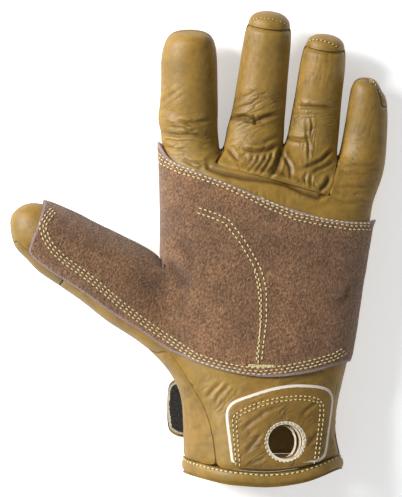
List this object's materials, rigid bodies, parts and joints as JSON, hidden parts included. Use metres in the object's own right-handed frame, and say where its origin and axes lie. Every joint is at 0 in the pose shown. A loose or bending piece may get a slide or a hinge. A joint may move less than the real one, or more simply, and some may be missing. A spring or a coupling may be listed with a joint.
{
  "type": "belay glove",
  "caption": "Full-finger leather work glove, left hand, palm up: suede palm and thumb patches, cuff tab with a clip hole, hook-and-loop wrist strap.",
  "frame": {"origin": "centre of the bounding box's base, on the surface that the back of the glove lies on", "axes": "+Y from the cuff to the fingertips, +X from the thumb to the little finger, +Z out of the palm"},
  "size_m": [0.191, 0.2398, 0.0463],
  "materials": {
    "palm_leather": "golden grain leather, semi-matte",
    "front_leather": "golden grain leather, semi-matte",
    "back_leather": "golden grain leather, semi-matte",
    "web_leather_1": "golden grain leather, semi-matte",
    "web_leather_2": "golden grain leather, semi-matte",
    "web_leather_3": "golden grain leather, semi-matte",
    "hem_leather": "golden grain leather, semi-matte",
    "brown_suede": "suede nap, brown",
    "loop_tape": "black hook-and-loop pile",
    "tab_leather": "golden grain leather, semi-matte",
    "strap_leather": "golden grain leather, semi-matte",
    "hook_tape": "black hook-and-loop pile"
  },
  "bodies": {
    "root": {"palm_panel": "palm_leather", "finger_front_panel": "front_leather", "back_panel": "back_leather", "fourchette_index_middle": "web_leather_1", "fourchette_middle_ring": "web_leather_2", "fourchette_ring_little": "web_leather_3", "hem_roll": "hem_leather", "suede_patch": "brown_suede", "loop_pad": "loop_tape", "clip_tab": "tab_leather", "closure_strap": "strap_leather", "hook_pad": "hook_tape"}
  },
  "joints": []
}
